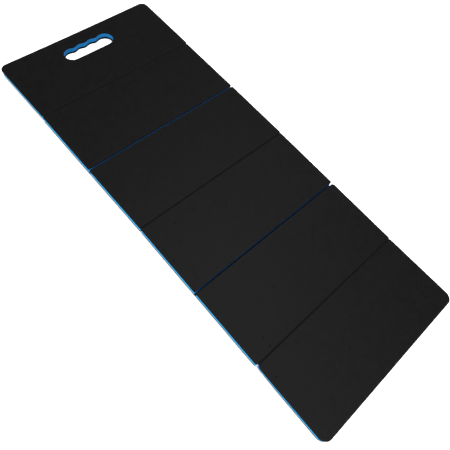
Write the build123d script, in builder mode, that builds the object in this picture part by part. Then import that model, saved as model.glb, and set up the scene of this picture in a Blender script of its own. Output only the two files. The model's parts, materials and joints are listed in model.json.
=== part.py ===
from build123d import *
import math
import os

# A concertina-folding foam exercise mat, lying open and flat, in millimetres.
# +X runs along the mat from the hand-hole end to the plain end, +Y across it and +Z up.
# The origin is the middle of the underside.
#
# The mat is a sandwich: a coloured foam core between two thin dark foam skins. It folds at
# straight cuts across it. The first, third and fifth folds are cut up from below and leave
# the top skin whole, so that the tops of their panels close on each other. The second and
# fourth are cut down from above and leave the bottom skin whole, so that the undersides
# close. The strip of skin left at each cut is the hinge.

# Driving dimensions
mat_length = 1400.0
mat_width = 550.0
panel_count = 6
skin_thickness = 4.5
core_thickness = 16.0
corner_radius = 22.0  # the four corners of the open mat
cut_from_below = 3.0  # width of the cuts at the first, third and fifth folds
cut_from_above = 5.0  # width of the cuts at the second and fourth folds, which gape a little
crease_depth = 0.6  # how far the hinge strip is pressed below the skin beside it

# Hand hole, across the middle of the first panel: a slot with finger hollows along its
# outer side
hole_to_end = 43.0  # from the mat's end to the deepest point of the finger hollows
hole_end_radius = 27.5  # also the radius of each finger hollow
finger_count = 4
finger_pitch = 40.0
ridge_height = 4.3  # how far the ridges between the fingers stand into the slot

# Dimensions worked out from those
panel_depth = mat_length / panel_count
mat_thickness = 2 * skin_thickness + core_thickness
layers = {
    "bottom_skin": (0.0, skin_thickness),
    "core": (skin_thickness, core_thickness),
    "top_skin": (skin_thickness + core_thickness, skin_thickness),
}
crest_x = -mat_length / 2 + hole_to_end
finger_x = crest_x + hole_end_radius
finger_ys = [finger_pitch * (i - (finger_count - 1) / 2) for i in range(finger_count)]
# A ridge is an arc that meets the hollows on both sides of it without a corner.
ridge_radius = ((finger_pitch / 2) ** 2 + ridge_height**2) / (2 * ridge_height) - hole_end_radius
ridge_x = crest_x + ridge_height - ridge_radius
half_turn = math.degrees(math.asin(finger_pitch / 2 / (hole_end_radius + ridge_radius)))

os.makedirs("parts", exist_ok=True)


def fold_x(fold):
    """The place of a fold along the mat; fold 0 and the last one are the mat's ends."""
    return -mat_length / 2 + fold * panel_depth


def hinges_on_top(fold):
    """Odd folds are cut from below and hinge in the top skin."""
    return fold % 2 == 1


def cut_width(fold):
    """The width of a fold's cut; the mat's own ends have none."""
    if fold in (0, panel_count):
        return 0.0
    return cut_from_below if hinges_on_top(fold) else cut_from_above


def panel_outline(panel):
    """One panel seen from above: set back from its cuts, with the mat's corners rounded."""
    start = fold_x(panel - 1) + cut_width(panel - 1) / 2
    end = fold_x(panel) - cut_width(panel) / 2
    with Locations(((start + end) / 2, 0)):
        outline = Rectangle(end - start, mat_width)
    if panel == 1:
        fillet(outline.vertices().group_by(Axis.X)[0], corner_radius)
    if panel == panel_count:
        fillet(outline.vertices().group_by(Axis.X)[-1], corner_radius)


# The slot's outline: round ends, a straight inner side and a wavy outer side
with BuildSketch() as hand_hole:
    with BuildLine():
        CenterArc((finger_x, finger_ys[0]), hole_end_radius, 0, -180 - half_turn)
        for y in finger_ys[1:]:
            CenterArc((ridge_x, y - finger_pitch / 2), ridge_radius, -half_turn, 2 * half_turn)
            if y < finger_ys[-1]:
                CenterArc((finger_x, y), hole_end_radius, 180 + half_turn, -2 * half_turn)
        CenterArc((finger_x, finger_ys[-1]), hole_end_radius, 180 + half_turn, -180 - half_turn)
        inner_x = finger_x + hole_end_radius
        Line((inner_x, finger_ys[-1]), (inner_x, finger_ys[0]))
    make_face()

# Panels: three layers each
for panel in range(1, panel_count + 1):
    for layer, (base, thickness) in layers.items():
        node = f"panel_{panel}_{layer}"
        with BuildPart() as piece:
            with BuildSketch(Plane.XY.offset(base)):
                panel_outline(panel)
                if panel == 1:
                    add(hand_hole.sketch, mode=Mode.SUBTRACT)
            extrude(amount=thickness)
        piece.part.label = node
        export_step(piece.part, f"parts/{node}.step")

# Hinge strips: the skin left whole at each cut, pressed in a little on its outer face
strip_thickness = skin_thickness - crease_depth
for fold in range(1, panel_count):
    if hinges_on_top(fold):
        node = f"fold_{fold}_top_hinge_strip"
        base = mat_thickness - skin_thickness
    else:
        node = f"fold_{fold}_bottom_hinge_strip"
        base = crease_depth
    with BuildPart() as strip:
        with BuildSketch(Plane.XY.offset(base)):
            with Locations((fold_x(fold), 0)):
                Rectangle(cut_width(fold), mat_width)
        extrude(amount=strip_thickness)
    strip.part.label = node
    export_step(strip.part, f"parts/{node}.step")

print(f"hand hole: {finger_ys[-1] - finger_ys[0] + 2 * hole_end_radius:.1f} mm by {2 * hole_end_radius:.1f} mm")
print(f"ridges between the fingers: radius {ridge_radius:.1f} mm")
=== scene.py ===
import json
import math

import bpy
import numpy as np
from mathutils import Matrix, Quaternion, Vector, noise
from mathutils.geometry import delaunay_2d_cdt

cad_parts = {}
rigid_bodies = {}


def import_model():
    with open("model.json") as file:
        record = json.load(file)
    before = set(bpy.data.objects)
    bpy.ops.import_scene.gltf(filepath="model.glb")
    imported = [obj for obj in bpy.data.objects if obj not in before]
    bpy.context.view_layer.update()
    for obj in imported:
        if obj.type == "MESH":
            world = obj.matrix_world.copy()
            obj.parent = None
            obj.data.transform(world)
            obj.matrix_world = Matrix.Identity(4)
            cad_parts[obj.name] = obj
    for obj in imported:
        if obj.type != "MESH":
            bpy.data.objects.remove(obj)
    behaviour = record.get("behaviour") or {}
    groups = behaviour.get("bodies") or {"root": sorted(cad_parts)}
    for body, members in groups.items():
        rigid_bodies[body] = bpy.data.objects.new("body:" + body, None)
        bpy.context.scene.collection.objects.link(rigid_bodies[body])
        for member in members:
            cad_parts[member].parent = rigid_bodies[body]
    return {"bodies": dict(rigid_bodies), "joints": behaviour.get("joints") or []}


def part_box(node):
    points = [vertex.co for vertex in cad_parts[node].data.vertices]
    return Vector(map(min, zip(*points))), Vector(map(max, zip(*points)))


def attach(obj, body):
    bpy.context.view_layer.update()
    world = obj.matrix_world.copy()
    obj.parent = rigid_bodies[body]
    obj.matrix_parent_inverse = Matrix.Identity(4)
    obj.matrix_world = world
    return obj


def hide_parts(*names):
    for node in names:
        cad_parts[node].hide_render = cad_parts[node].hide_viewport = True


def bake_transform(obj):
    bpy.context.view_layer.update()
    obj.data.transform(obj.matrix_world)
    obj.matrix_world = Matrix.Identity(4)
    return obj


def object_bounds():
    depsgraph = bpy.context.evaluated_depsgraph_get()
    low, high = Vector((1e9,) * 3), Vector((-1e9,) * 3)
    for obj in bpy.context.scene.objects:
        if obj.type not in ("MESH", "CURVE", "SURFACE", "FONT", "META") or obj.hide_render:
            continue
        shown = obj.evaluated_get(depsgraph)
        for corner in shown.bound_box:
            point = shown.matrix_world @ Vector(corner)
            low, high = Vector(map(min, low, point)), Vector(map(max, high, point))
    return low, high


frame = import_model()
cad_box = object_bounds()

# A concertina-folding foam mat: six blue foam cores between dark foam skins. Everything is in
# metres in the CAD's frame: +X from the hand-hole end to the plain end, +Z up, floor at 0. The
# long side at -Y is called the left one and the one at +Y the right.
MM = 0.001

# ---- Dimensions, from the frame -----------------------------------------------------------
THICKNESS = cad_box[1].z
HALF_WIDTH = cad_box[1].y
MAT_END = cad_box[1].x
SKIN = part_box("panel_1_core")[0].z
PANELS = len(frame["bodies"])
SKIN_Z = {"bottom": (0.0, SKIN), "top": (THICKNESS - SKIN, THICKNESS)}
CORE_Z = (SKIN, THICKNESS - SKIN)
FOLD_X = {int(j["name"].split("_")[1]): j["pos_m"][0] for j in frame["joints"]}
HINGE_IS_ON_TOP = {
    int(j["name"].split("_")[1]): j["pos_m"][2] > THICKNESS / 2 for j in frame["joints"]
}

# ---- The hand hole ------------------------------------------------------------------------
# As in the CAD
HOLE_TO_END = 43 * MM  # from the mat's end to the deepest point of the finger hollows
HOLE_RADIUS = 27.5 * MM  # of the round ends and of each finger hollow
FINGERS = 4
FINGER_PITCH = 40 * MM
RIDGE_HEIGHT = 4.3 * MM  # how far the ridges between the fingers stand into the slot
# Where the cut strays from that
HOLE_SHIFT = -3.2 * MM  # off the middle by this, towards the left
HOLE_STRETCH = 1.07  # the outer half of the last hollow, at the right, is longer by this factor
HOLE_LEDGE = 1.2 * MM  # the bottom skin stands this far into the slot

# ---- Finish of the foam -------------------------------------------------------------------
CORNER_RADIUS = 22 * MM
SKIN_EDGE = 0.7 * MM  # rounding of the skins' cut edges
CORE_EDGE = 0.5 * MM  # rounding of the core's edges, which makes the darkened bands next to the skins show, partly dark glue lines and partly painted shade
CORE_INSET = 0.5 * MM  # the skins stand out past the core by this
GLUE_LINE_AND_SHADE_REACH = 2.2 * MM  # how far the core is darkened next to each skin, partly by a dark glue line and partly by painted shade
SURFACE_DIPS = 0.35 * MM  # depth of the slow unevenness of the outer faces
WALL_HOLLOW = 0.12 * MM  # the cut walls bow in by this
WEAR_REACH = 5 * MM  # how far wear runs in from a cut edge
CREASE_DEPTH = 1.4 * MM
CREASE_WIDTH = 1.8 * MM
CUT_CORNER = 2.5 * MM  # radius of a panel's corner at a cut, unless ROUND_CORNERS has it

# ---- Spacing of the mesh ------------------------------------------------------------------
GRID = 11 * MM  # inside a sheet
GRID_MARGIN = 2.5 * MM  # the grid keeps this far from the outline
FLAT_MARGIN = 1.2 * MM  # the flat faces end this far inside the rounding of their edges
HOLE_SPACING = 8 * MM  # along the slot's straight side

# ---- How the real mat strays from a regular one -------------------------------------------
# Corners that the knife left rounder: (panel, end, side)
ROUND_CORNERS = {
    (3, "start", "right"): 5 * MM,
    (5, "start", "right"): 9 * MM,
    (5, "end", "left"): 5 * MM,
    (6, "start", "left"): 10 * MM,
    (4, "start", "left"): 3.5 * MM,
    (1, "end", "left"): 3.5 * MM,
}
# Small bites out of the sides where the top skin is creased: (depth, half length)
CREASE_BITES = {
    (1, "left"): (1.0 * MM, 3 * MM),
    (1, "right"): (1.5 * MM, 3 * MM),
    (3, "left"): (1.0 * MM, 3 * MM),
    (3, "right"): (1.0 * MM, 3 * MM),
    (5, "left"): (5.0 * MM, 5 * MM),
    (5, "right"): (1.5 * MM, 3 * MM),
}
# How far the long sides stray from straight, in mm, as (left, right) at each panel's start and end
STRAY = [
    [(-5.0, 1.3), (-1.0, 3.6)],
    [(-1.0, 1.1), (0.0, 3.5)],
    [(0.3, 3.8), (2.2, 4.5)],
    [(2.2, 3.3), (1.3, 1.6)],
    [(1.3, 2.0), (0.2, 0.4)],
    [(0.3, -0.9), (-0.5, 0.6)],
]
STEP = 1.5 * MM  # each side of a fold, the length over which one panel's edge runs to the next
END_SKEW = 8.5 * MM  # the hand-hole end runs out of square by this, more towards the right
PLAIN_END = 1.9 * MM  # the last panel is longer by this
CUT_SHIFT = {2: -0.8 * MM, 4: -2.2 * MM}  # the cuts from above miss their hinges by this
SIDE_BAND = 13 * MM  # what is cut along a long side reaches this far in
# How far the left side leans in from top to bottom: (panels from the hand-hole end, mm)
LEAN = [(0, 2.6), (0.8, 1.6), (1, 2.4), (1.001, 0.4), (5, 0.5), (5.001, 3.4), (5.3, 1.2), (6, 0.6)]
# How far the top skins stand out past the cores on that side, likewise
OVERHANG = [(0, 0.3), (5, 0.4), (5.001, 0.2), (5.3, 0.6), (6, 0.6)]


# ---- How the mat lies ---------------------------------------------------------------------
def panel_count_at(x):
    """Panels from the hand-hole end to x: 0 at that end, 1 at the first fold, and so on."""
    return (x + MAT_END) / (2 * MAT_END) * PANELS


def laid(points, top):
    """Moves a sheet's points to where a hand-cut mat has them: it isn't quite straight or square.
    top is the height of the sheet's upper face."""
    x, y, z = points.T
    count = panel_count_at(x)
    ends = [-MAT_END] + [FOLD_X[f] for f in sorted(FOLD_X)] + [MAT_END]
    stations = [at for a, b in zip(ends, ends[1:]) for at in (a + STEP, b - STEP)]
    flat = [pair for panel in STRAY for pair in panel]
    left, right = (np.interp(x, stations, [pair[k] * MM for pair in flat]) for k in (0, 1))
    share = (y + HALF_WIDTH) / (2 * HALF_WIDTH)
    lean = np.interp(count, *zip(*LEAN)) * (1 - z / THICKNESS)
    if top > THICKNESS - SKIN:
        lean = lean - np.interp(count, *zip(*OVERHANG))
    lean = lean * MM * near_side(y, -1)
    long_way = END_SKEW * share**2 * np.clip((FOLD_X[1] - x) / (FOLD_X[1] + MAT_END), 0, None)
    last = FOLD_X[PANELS - 1]
    stretch = PLAIN_END * np.clip((x - last) / (MAT_END - last), 0, None)
    if top > SKIN:
        for fold, shift in CUT_SHIFT.items():
            reach = np.clip(1 - np.abs(x - FOLD_X[fold]) / (FOLD_X[2] - FOLD_X[1]), 0, None)
            stretch = stretch + shift * reach
    return np.column_stack([x - long_way + stretch, y + left + (right - left) * share + lean, z])


def near_side(y, sign):
    """1 on the long side that sign gives, -1 for left and 1 for right, falling to 0 further in."""
    return np.clip(1 - (HALF_WIDTH - sign * y) / SIDE_BAND, 0.0, 1.0) ** 2


# ---- Outlines -----------------------------------------------------------------------------
def arc(centre, radius, start, sweep, step=1.5 * MM):
    """Points on an arc, both ends included; angles in degrees."""
    count = max(3, int(abs(math.radians(sweep)) * radius / step))
    angles = np.radians(np.linspace(start, start + sweep, count + 1))
    x = centre[0] + radius * np.cos(angles)
    y = centre[1] + radius * np.sin(angles)
    return np.column_stack([x, y])


def between(values, low, high, gap=0.6 * MM):
    """The values that lie between two others, and not too near either."""
    return [v for v in values if low + gap < v < high - gap]


def rectangle(x0, x1, y0, y1, radii, columns, rows):
    """A counter-clockwise rounded rectangle. radii start at the corner (x0, y0) and go round."""
    a, b, c, d = radii
    bottom = [(x, y0) for x in between(columns, x0 + a, x1 - b)]
    right = [(x1, y) for y in between(rows, y0 + b, y1 - c)]
    top = [(x, y1) for x in reversed(between(columns, x0 + d, x1 - c))]
    left = [(x0, y) for y in reversed(between(rows, y0 + a, y1 - d))]
    runs = [
        arc((x0 + a, y0 + a), a, 180, 90), bottom,
        arc((x1 - b, y0 + b), b, 270, 90), right,
        arc((x1 - c, y1 - c), c, 0, 90), top,
        arc((x0 + d, y1 - d), d, 90, 90), left,
    ]
    return np.array([tuple(p) for run in runs for p in run])


def hand_hole():
    """The slot's outline, clockwise: round ends, a straight inner side and finger hollows."""
    crest = -MAT_END + HOLE_TO_END
    middle = crest + HOLE_RADIUS
    ridge = ((FINGER_PITCH / 2) ** 2 + RIDGE_HEIGHT**2) / (2 * RIDGE_HEIGHT) - HOLE_RADIUS
    turn = math.degrees(math.asin(FINGER_PITCH / 2 / (HOLE_RADIUS + ridge)))
    ys = [HOLE_SHIFT + FINGER_PITCH * (i - (FINGERS - 1) / 2) for i in range(FINGERS)]
    runs = [arc((middle, ys[0]), HOLE_RADIUS, 0, -180 - turn)]
    for y in ys[1:]:
        centre = (crest + RIDGE_HEIGHT - ridge, y - FINGER_PITCH / 2)
        runs.append(arc(centre, ridge, -turn, 2 * turn)[1:-1])
        sweep = -180 - turn if y == ys[-1] else -2 * turn
        runs.append(arc((middle, y), HOLE_RADIUS, 180 + turn, sweep))
    inner = middle + HOLE_RADIUS
    straight = np.arange(ys[-1] - HOLE_SPACING, ys[0] + HOLE_SPACING / 2, -HOLE_SPACING)
    runs.append(np.array([(inner, y) for y in straight]))
    outline = np.vstack(runs)
    outline[:, 1] += (HOLE_STRETCH - 1) * np.clip(outline[:, 1] - ys[-1], 0, None)
    return outline


def inset(loop, distance):
    """The loop moved into the foam, which is on its left."""
    along = np.roll(loop, -1, 0) - np.roll(loop, 1, 0)
    along /= np.linalg.norm(along, axis=1)[:, None]
    return loop + distance * np.column_stack([-along[:, 1], along[:, 0]])


def inside(points, loop):
    """True for the points that lie inside a loop."""
    x, y = points[:, 0:1], points[:, 1:2]
    ax, ay = loop[:, 0], loop[:, 1]
    bx, by = np.roll(ax, -1), np.roll(ay, -1)
    crosses = (ay > y) != (by > y)
    with np.errstate(divide="ignore", invalid="ignore"):
        left = x < (bx - ax) * (y - ay) / (by - ay) + ax
    return (crosses & left).sum(1) % 2 == 1


def within(points, loops):
    """True for the points inside the first loop and outside the others, which are holes."""
    keep = inside(points, loops[0])
    for hole in loops[1:]:
        keep &= ~inside(points, hole)
    return keep


def distance_to(points, loops):
    """How far each point is from the nearest corner of the loops."""
    every = np.vstack(loops)
    return np.array([np.sqrt(((every - p) ** 2).sum(1).min()) for p in points])


# ---- Foam sheets --------------------------------------------------------------------------
def edge_profile(z0, z1, radius):
    """(inset, height) pairs round a cut edge, from the top face down to the bottom face."""
    turns = np.radians([0, 30, 60, 90])
    bend = [(radius * (1 - math.sin(a)), radius * (1 - math.cos(a))) for a in turns]
    upper = [(radius + FLAT_MARGIN, 0.0)] + bend
    walls = [(WALL_HOLLOW, z0 + (z1 - z0) * t) for t in (0.65, 0.35)]
    return (
        [(d, z1 - drop) for d, drop in upper]
        + walls
        + [(d, z0 + drop) for d, drop in reversed(upper)]
    )


def fill(caps, grid):
    """Triangles over the flat face that the caps bound, numbered through the caps and then the grid."""
    flat = np.vstack(caps + [grid])
    edges, start = [], 0
    for loop in caps:
        n = len(loop)
        edges += [(start + i, start + (i + 1) % n) for i in range(n)]
        start += n
    _, _, triangles, origin, _, _ = delaunay_2d_cdt([Vector(p) for p in flat], edges, [], 0, 1e-7)
    index = [ids[0] for ids in origin]
    triangles = np.array([[index[v] for v in t] for t in triangles])
    return triangles[within(flat[triangles].mean(1), caps)]


def foam_sheet(name, loops, z0, z1, radius, columns, rows, relief=None, trim=None, crease=None):
    """A closed sheet with rounded cut edges and a fine mesh. relief(x, y, share) moves it in
    height, where share is 0 on the underside and 1 on top, and trim(x, y) moves it across the mat.
    crease is the fold at which its foam is pressed; it also marks the crease along which the skin
    material paints shade."""
    profile = edge_profile(z0, z1, radius)
    caps = [inset(loop, profile[0][0]) for loop in loops]
    grid = np.array([(x, y) for x in columns for y in rows])
    grid = grid[within(grid, caps)]
    grid = grid[distance_to(grid, caps) > GRID_MARGIN]
    triangles = fill(caps, grid)
    rim_count = sum(len(loop) for loop in loops)

    points, faces, ring_start, cut_wall_shade_mask = [], [], [], []
    for depth, z in profile:
        ring = np.vstack([inset(loop, depth) for loop in loops])
        ring_start.append(len(points) * rim_count)
        points.append(np.column_stack([ring, np.full(rim_count, z)]))
        # 1 on the cut walls and rounded edges: where the skin material paints shade and dulls the foam
        cut_wall_shade_mask.append(np.full(rim_count, max(0.0, 1 - depth / radius)))
    top_grid = len(profile) * rim_count
    bottom_grid = top_grid + len(grid)
    points += [np.column_stack([grid, np.full(len(grid), z)]) for z in (z1, z0)]
    points = np.vstack(points)
    cut_wall_shade_mask = np.concatenate(cut_wall_shade_mask + [np.zeros(2 * len(grid))])
    for k in range(len(profile) - 1):
        start = 0
        for loop in loops:
            n = len(loop)
            for i in range(n):
                j = (i + 1) % n
                a, b = ring_start[k] + start + i, ring_start[k] + start + j
                c, d = ring_start[k + 1] + start + j, ring_start[k + 1] + start + i
                faces.append((a, d, c, b))
            start += n

    def cap_vertex(v, rim, inner):
        return rim + v if v < rim_count else inner + v - rim_count

    for t in triangles:
        faces.append(tuple(cap_vertex(v, 0, top_grid) for v in t))
        faces.append(tuple(cap_vertex(v, ring_start[-1], bottom_grid) for v in reversed(t)))

    rest = points.copy()
    rim = np.exp(-distance_to(points[:, :2], loops) / WEAR_REACH)
    # 1 along the crease: where the skin material paints shade and dulls the foam
    crease_shade_mask = np.zeros(len(points)) if crease is None else pressing(points[:, 0], crease)
    if relief is not None:
        points[:, 2] += relief(points[:, 0], points[:, 1], (points[:, 2] - z0) / (z1 - z0))
    if trim is not None:
        points[:, 1] += trim(rest[:, 0], rest[:, 1])
    points = laid(points, z1)

    mesh = bpy.data.meshes.new(name)
    mesh.from_pydata(points.tolist(), [], faces)
    mesh.polygons.foreach_set("use_smooth", [True] * len(mesh.polygons))
    stored = mesh.attributes.new("rest", "FLOAT_VECTOR", "POINT")
    stored.data.foreach_set("vector", rest.astype(np.float32).ravel())
    for attribute, values in (("rim", rim), ("cut_wall_shade_mask", cut_wall_shade_mask), ("crease_shade_mask", crease_shade_mask)):
        stored = mesh.attributes.new(attribute, "FLOAT", "POINT")
        stored.data.foreach_set("value", values.astype(np.float32))
    mesh.update()
    piece = bpy.data.objects.new(name, mesh)
    bpy.context.scene.collection.objects.link(piece)
    return piece


def grid_columns(x0, x1, fold=None, half_gap=0.0):
    """Mesh columns along a sheet, close together where it bends."""
    count = round((x1 - x0) / GRID)
    columns = list(np.linspace(x0, x1, count + 1))
    if fold is None:
        return columns
    near = [FOLD_X[fold] + half_gap * t for t in np.linspace(-1, 1, 17)]
    wide = [FOLD_X[fold] + s * d * MM for s in (-1, 1) for d in (2.6, 3.4, 4.6, 6.5)]
    clear = 8 * MM
    columns = [x for x in columns if abs(x - FOLD_X[fold]) > clear]
    return sorted(columns + near + wide)


def unevenness(x, y):
    """Slow dips of a face: 0 at its nominal height and -1 at the deepest."""
    values = [noise.fractal(Vector((a * 7, b * 7, 3.1)), 1.0, 2.0, 3) for a, b in zip(x, y)]
    return -np.clip(0.5 + 0.5 * np.array(values), 0, 1)


def pressing(x, fold):
    """1 along the middle of a fold's crease, falling to 0 beside it."""
    return np.exp(-(((x - FOLD_X[fold]) / CREASE_WIDTH) ** 2))


def skin_relief(face, fold):
    """The outer face's unevenness and, on the side where it hinges, the pressed crease."""
    def relief(x, y, share):
        outward = share if face == "top" else 1 - share
        drop = SURFACE_DIPS * unevenness(x, y)
        if fold is not None:
            drop = drop - CREASE_DEPTH * pressing(x, fold)
        return outward * drop * (1 if face == "top" else -1)
    return relief


ROWS = list(np.linspace(-HALF_WIDTH, HALF_WIDTH, round(2 * HALF_WIDTH / GRID) + 1))


def corner_radii(first, last):
    """Radii of a sheet's corners in the order that rectangle takes them: left, left, right, right."""
    def radius(panel, end, side):
        at_mat_end = panel == (1 if end == "start" else PANELS)
        return CORNER_RADIUS if at_mat_end else ROUND_CORNERS.get((panel, end, side), CUT_CORNER)
    return (
        radius(first, "start", "left"),
        radius(last, "end", "left"),
        radius(last, "end", "right"),
        radius(first, "start", "right"),
    )


def skin_trim(fold):
    """Sideways shift of a skin's points: the small bites at the ends of its crease."""
    def trim(x, y):
        shift = np.zeros(len(x))
        for side, sign in (("left", -1), ("right", 1)):
            depth, half = CREASE_BITES[fold, side]
            shift -= sign * depth * near_side(y, sign) * np.exp(-(((x - FOLD_X[fold]) / half) ** 4))
        return shift
    return trim


def make_skin(face, first, last):
    """One continuous sheet of skin over one panel or two."""
    name = f"{face}_skin_panel_{first}" if first == last else f"{face}_skin_panels_{first}_{last}"
    x0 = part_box(f"panel_{first}_{face}_skin")[0].x
    x1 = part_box(f"panel_{last}_{face}_skin")[1].x
    fold = first if last > first else None
    strip = f"fold_{first}_{face}_hinge_strip"
    half_gap = (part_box(strip)[1].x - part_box(strip)[0].x) / 2 if fold else 0.0
    columns = grid_columns(x0, x1, fold, half_gap)
    loops = [rectangle(x0, x1, -HALF_WIDTH, HALF_WIDTH, corner_radii(first, last), columns, ROWS)]
    if first == 1:
        loops.append(inset(hand_hole(), 0.0 if face == "top" else -HOLE_LEDGE))
    z0, z1 = SKIN_Z[face]
    trim = skin_trim(fold) if fold and face == "top" else None
    relief = skin_relief(face, fold)
    piece = foam_sheet(name, loops, z0, z1, SKIN_EDGE, columns, ROWS, relief, trim, fold)
    replaced = [f"panel_{p}_{face}_skin" for p in range(first, last + 1)]
    if fold:
        replaced.append(strip)
        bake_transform(piece)
    else:
        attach(piece, f"panel_{first}")
    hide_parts(*replaced)
    return piece


def make_core(panel):
    """The blue slab of one panel."""
    low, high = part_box(f"panel_{panel}_core")
    columns = grid_columns(low.x, high.x)
    side = HALF_WIDTH - CORE_INSET
    loops = [rectangle(low.x, high.x, -side, side, corner_radii(panel, panel), columns, ROWS)]
    if panel == 1:
        loops.append(inset(hand_hole(), CORE_INSET))
    name = f"core_panel_{panel}"
    piece = foam_sheet(name, loops, *CORE_Z, CORE_EDGE, columns, ROWS)
    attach(piece, f"panel_{panel}")
    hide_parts(f"panel_{panel}_core")
    return piece


# ---- Materials ----------------------------------------------------------------------------
SKIN_DARK = (0.0019, 0.0017, 0.0018, 1)
SKIN_LIGHT = (0.0045, 0.0041, 0.0044, 1)
SKIN_GRAIN = (0.0068, 0.0063, 0.0067, 1)
SKIN_PIT_MARK_AND_CREASE_SHADE = (0.001, 0.001, 0.001, 1)  # dark marks in the pits, and painted shade along the creases
SKIN_SCRATCH = (0.0012, 0.0011, 0.0012, 1)
SKIN_WORN = (0.009, 0.009, 0.0092, 1)
# painted shade on the skins' cut walls and rounded edges
SKIN_CUT_WALL_SHADE = (0.0005, 0.0005, 0.0006, 1)
CORE_DARK = (0.0080, 0.120, 0.296, 1)
CORE_LIGHT = (0.011, 0.145, 0.342, 1)
# a painted tint of the side light on the core's outer sides
CORE_SIDE_LIGHT_TINT = (0.016, 0.148, 0.262, 1)
CORE_CELL = (0.004, 0.055, 0.18, 1)
# next to the skins: partly a dark glue line, partly painted shade
CORE_GLUE_LINE_AND_SHADE = (0.001, 0.004, 0.06, 1)
WHITE = (1, 1, 1, 1)
SCRATCH_ANGLE = -50  # degrees from the length of the mat
SCRATCH_SIZE = (0.25, 0.014, 1.0)  # along a scratch, across it and through the foam, in metres


class Nodes:
    """Short names for making and joining shader nodes."""

    def __init__(self, name):
        self.material = bpy.data.materials.new(name)
        self.material.use_nodes = True
        self.tree = self.material.node_tree
        self.shader = self.tree.nodes["Principled BSDF"]

    def add(self, kind, inputs=None, **settings):
        node = self.tree.nodes.new(kind)
        for key, value in settings.items():
            setattr(node, key, value)
        for key, value in (inputs or {}).items():
            if isinstance(value, bpy.types.NodeSocket):
                self.tree.links.new(value, node.inputs[key])
            else:
                node.inputs[key].default_value = value
        return node

    def link(self, socket, name):
        self.tree.links.new(socket, self.shader.inputs[name])

    def rest(self):
        return self.add("ShaderNodeAttribute", attribute_name="rest").outputs["Vector"]

    def noise(self, where, scale, detail=3.0, roughness=0.5):
        inputs = {"Vector": where, "Scale": scale, "Detail": detail, "Roughness": roughness}
        return self.add("ShaderNodeTexNoise", inputs).outputs["Fac"]

    def cells(self, where, scale, output="Distance"):
        return self.add("ShaderNodeTexVoronoi", {"Vector": where, "Scale": scale}).outputs[output]

    def math(self, operation, a, b=0.0, clamp=False):
        return self.add("ShaderNodeMath", {0: a, 1: b}, operation=operation, use_clamp=clamp).outputs[0]

    def remap(self, value, low, high, to_low, to_high):
        names = ("Value", "From Min", "From Max", "To Min", "To Max")
        inputs = dict(zip(names, (value, low, high, to_low, to_high)))
        return self.add("ShaderNodeMapRange", inputs).outputs["Result"]

    def mix(self, factor, a, b):
        node = self.add("ShaderNodeMix", data_type="RGBA")
        sockets = (node.inputs["Factor"], node.inputs[6], node.inputs[7])
        for socket, value in zip(sockets, (factor, a, b)):
            if isinstance(value, bpy.types.NodeSocket):
                self.tree.links.new(value, socket)
            else:
                socket.default_value = value
        return node.outputs[2]

    def bump(self, height, distance, strength=1.0, normal=None):
        inputs = {"Height": height, "Distance": distance, "Strength": strength}
        if normal is not None:
            inputs["Normal"] = normal
        return self.add("ShaderNodeBump", inputs).outputs["Normal"]


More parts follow.
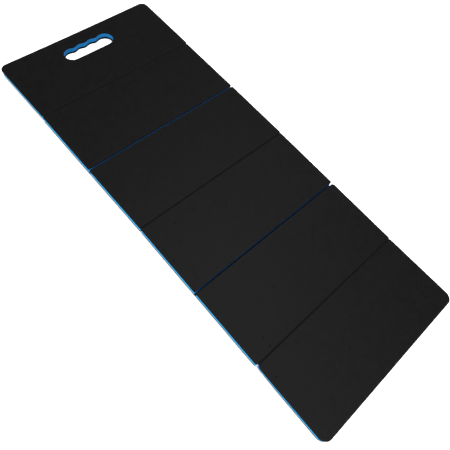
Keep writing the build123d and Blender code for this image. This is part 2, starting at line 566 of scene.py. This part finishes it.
def skin_material():
    """Near-black closed-cell foam skin: fine cells, mottling, small pits, faint scratches, worn rims,
    and painted shade on the cut walls and along the creases."""
    n = Nodes("dark_skin_foam")
    where = n.rest()
    mottle = n.remap(n.noise(where, 55.0, 6.0, 0.72), 0.3, 0.7, 0.0, 1.0)
    grain = n.noise(where, 330.0, 4.0, 0.75)
    tone = n.mix(mottle, SKIN_DARK, SKIN_LIGHT)
    tone = n.mix(n.remap(grain, 0.35, 0.75, 0.0, 0.7), tone, SKIN_GRAIN)

    wander = n.add("ShaderNodeTexNoise", {"Vector": where, "Scale": 90.0}).outputs["Color"]
    stray = n.add("ShaderNodeVectorMath", {0: wander, "Scale": 0.006}, operation="SCALE").outputs[0]
    bent = n.add("ShaderNodeVectorMath", {0: where, 1: stray}, operation="ADD").outputs[0]
    picked = n.add("ShaderNodeSeparateColor", {"Color": n.cells(bent, 30.0, "Color")}).outputs[0]
    spot = n.remap(n.cells(bent, 30.0), 0.05, 0.11, 1.0, 0.0)
    crowd = n.remap(n.noise(where, 3.5, 1.0), 0.38, 0.54, 0.95, 0.25)
    pit = n.math("MULTIPLY", spot, n.math("GREATER_THAN", picked, crowd))
    tone = n.mix(n.math("MULTIPLY", pit, 0.45), tone, SKIN_PIT_MARK_AND_CREASE_SHADE)

    turned = {"Vector": where, "Rotation": (0, 0, math.radians(SCRATCH_ANGLE)), "Scale": SCRATCH_SIZE}
    drawn = n.add("ShaderNodeMapping", turned, vector_type="TEXTURE").outputs[0]
    scratch = n.remap(n.noise(drawn, 1.0, 1.0), 0.64, 0.72, 0.0, 0.22)
    tone = n.mix(scratch, tone, SKIN_SCRATCH)

    rim = n.add("ShaderNodeAttribute", attribute_name="rim").outputs["Fac"]
    worn = n.math("MULTIPLY", rim, n.remap(grain, 0.45, 0.7, 0.0, 0.35))
    tone = n.mix(worn, tone, SKIN_WORN)
    # painted shade on the skins' cut walls and rounded edges
    cut_wall_shade_mask = n.add("ShaderNodeAttribute", attribute_name="cut_wall_shade_mask").outputs["Fac"]
    tone = n.mix(n.math("MULTIPLY", cut_wall_shade_mask, 0.9), tone, SKIN_CUT_WALL_SHADE)
    # painted shade along the hinge creases
    crease_shade_mask = n.add("ShaderNodeAttribute", attribute_name="crease_shade_mask").outputs["Fac"]
    tone = n.mix(n.math("MULTIPLY", crease_shade_mask, 0.45), tone, SKIN_PIT_MARK_AND_CREASE_SHADE)
    n.link(tone, "Base Color")
    gloss = n.remap(mottle, 0.0, 1.0, 0.46, 0.56)
    dull = n.math("MAXIMUM", n.math("MAXIMUM", pit, cut_wall_shade_mask), crease_shade_mask)
    n.link(n.math("ADD", gloss, n.math("MULTIPLY", dull, 0.35)), "Roughness")
    n.shader.inputs["Specular IOR Level"].default_value = 0.045

    coarse = n.bump(n.noise(where, 260.0, 2.0), 0.16 * MM, 0.5)
    fine = n.bump(n.cells(where, 1500.0), 0.10 * MM, 0.6, coarse)
    n.link(n.bump(n.math("MULTIPLY", pit, -1.0), 0.25 * MM, 1.0, fine), "Normal")
    return n.material


def core_material():
    """Blue foam with cut cells; darker next to the skins, partly a dark glue line and partly painted
    shade, and with a painted tint of the side light on the mat's outer sides."""
    n = Nodes("blue_core_foam")
    where = n.rest()
    mottle = n.noise(where, 30.0, 3.0, 0.6)
    cell = n.cells(where, 1300.0)
    tone = n.mix(n.remap(mottle, 0.3, 0.7, 0.0, 1.0), CORE_DARK, CORE_LIGHT)
    place = n.add("ShaderNodeSeparateXYZ", {0: where}).outputs
    # a painted tint of the side light, on the mat's outer sides
    side_light_tint_mask = 0.0
    for axis, reach in (("X", MAT_END), ("Y", HALF_WIDTH)):
        axis_side_light_tint = n.remap(n.math("ABSOLUTE", place[axis]), reach - 3 * MM, reach - 1 * MM, 0.0, 0.9)
        side_light_tint_mask = n.math("MAXIMUM", side_light_tint_mask, axis_side_light_tint)
    tone = n.mix(side_light_tint_mask, tone, CORE_SIDE_LIGHT_TINT)
    tone = n.mix(n.remap(cell, 0.0, 0.55, 0.35, 0.0), tone, CORE_CELL)
    # darker next to the skins: partly a dark glue line, partly painted shade
    from_middle = n.math("ABSOLUTE", n.math("SUBTRACT", place["Z"], THICKNESS / 2))
    half = THICKNESS / 2 - SKIN
    glue_line_and_shade = n.remap(from_middle, half - GLUE_LINE_AND_SHADE_REACH, half - 0.3 * MM, 0.0, 0.85)
    tone = n.mix(glue_line_and_shade, tone, CORE_GLUE_LINE_AND_SHADE)
    n.link(tone, "Base Color")
    n.shader.inputs["Roughness"].default_value = 0.8
    n.shader.inputs["Specular IOR Level"].default_value = 0.07
    rough = n.bump(n.cells(where, 520.0), 0.25 * MM, 0.6)
    n.link(n.bump(cell, 0.15 * MM, 0.8, rough), "Normal")
    return n.material


# ---- Making the mat -----------------------------------------------------------------------
skin_foam, core_foam = skin_material(), core_material()
for panel in range(1, PANELS + 1):
    make_core(panel).data.materials.append(core_foam)
for face in ("top", "bottom"):
    panel = 1
    while panel <= PANELS:
        joined = panel < PANELS and HINGE_IS_ON_TOP[panel] == (face == "top")
        last = panel + 1 if joined else panel
        make_skin(face, panel, last).data.materials.append(skin_foam)
        panel = last + 1


# ---- Floor, light and camera --------------------------------------------------------------
FLOOR_REACH = 60.0
FLOOR_Z = -0.4 * MM  # just under the mat, so that the two don't share a face
FLOOR_GLOW = 0.4  # a floor lit from behind, as a light table is
WORLD_STRENGTH = 0.48
# Each light's name, place, aim, size and power
LIGHTS = [
    ("key_softbox", (1.5, -0.25, 2.2), (0.5, 0, 0), (0.8, 0.8), 44),
    ("overhead_softbox", (-0.1, 0.25, 2.3), (0, 0, 0), (1.8, 0.9), 40),
    ("far_softbox", (-0.55, 1.26, 2.2), (0.1, 0.05, 0), (0.7, 0.7), 12.5),
    ("side_fill", (0.0, -3.0, 0.25), (0, 0, 0), (3.0, 0.4), 195),
]
CAMERA_PLACE = Vector((0.4183, -0.5482, 1.0958))
CAMERA_AIM = Vector((0.1343, -0.0826, 0.025))
CAMERA_ROLL = 18.63  # degrees
CAMERA_LENS = 34.41  # mm, on a sensor 36 mm wide


def make_floor():
    mesh = bpy.data.meshes.new("floor")
    corners = [(-1, -1), (1, -1), (1, 1), (-1, 1)]
    points = [(x * FLOOR_REACH, y * FLOOR_REACH, FLOOR_Z) for x, y in corners]
    mesh.from_pydata(points, [], [(0, 1, 2, 3)])
    floor = bpy.data.objects.new("floor", mesh)
    bpy.context.scene.collection.objects.link(floor)
    n = Nodes("floor_paper")
    n.shader.inputs["Base Color"].default_value = (0.88, 0.88, 0.88, 1)
    n.shader.inputs["Roughness"].default_value = 0.9
    n.shader.inputs["Specular IOR Level"].default_value = 0.1
    n.shader.inputs["Emission Color"].default_value = WHITE
    n.shader.inputs["Emission Strength"].default_value = FLOOR_GLOW
    mesh.materials.append(n.material)


def area_light(name, place, aim, size, power):
    data = bpy.data.lights.new(name, "AREA")
    data.shape = "RECTANGLE"
    data.size, data.size_y = size
    data.energy = power
    light = bpy.data.objects.new(name, data)
    light.location = place
    light.rotation_mode = "QUATERNION"
    light.rotation_quaternion = (Vector(aim) - Vector(place)).to_track_quat("-Z", "Y")
    bpy.context.scene.collection.objects.link(light)


def make_camera():
    data = bpy.data.cameras.new("camera")
    data.lens = CAMERA_LENS
    data.sensor_width = 36.0
    camera = bpy.data.objects.new("camera", data)
    camera.location = CAMERA_PLACE
    camera.rotation_mode = "QUATERNION"
    facing = (CAMERA_AIM - CAMERA_PLACE).to_track_quat("-Z", "Y")
    camera.rotation_quaternion = facing @ Quaternion((0, 0, 1), math.radians(CAMERA_ROLL))
    bpy.context.scene.collection.objects.link(camera)
    bpy.context.scene.camera = camera


make_floor()
world = bpy.data.worlds.new("studio")
world.use_nodes = True
world.node_tree.nodes["Background"].inputs["Color"].default_value = WHITE
world.node_tree.nodes["Background"].inputs["Strength"].default_value = WORLD_STRENGTH
bpy.context.scene.world = world
for light in LIGHTS:
    area_light(*light)
make_camera()
bpy.context.scene.view_settings.view_transform = "Standard"
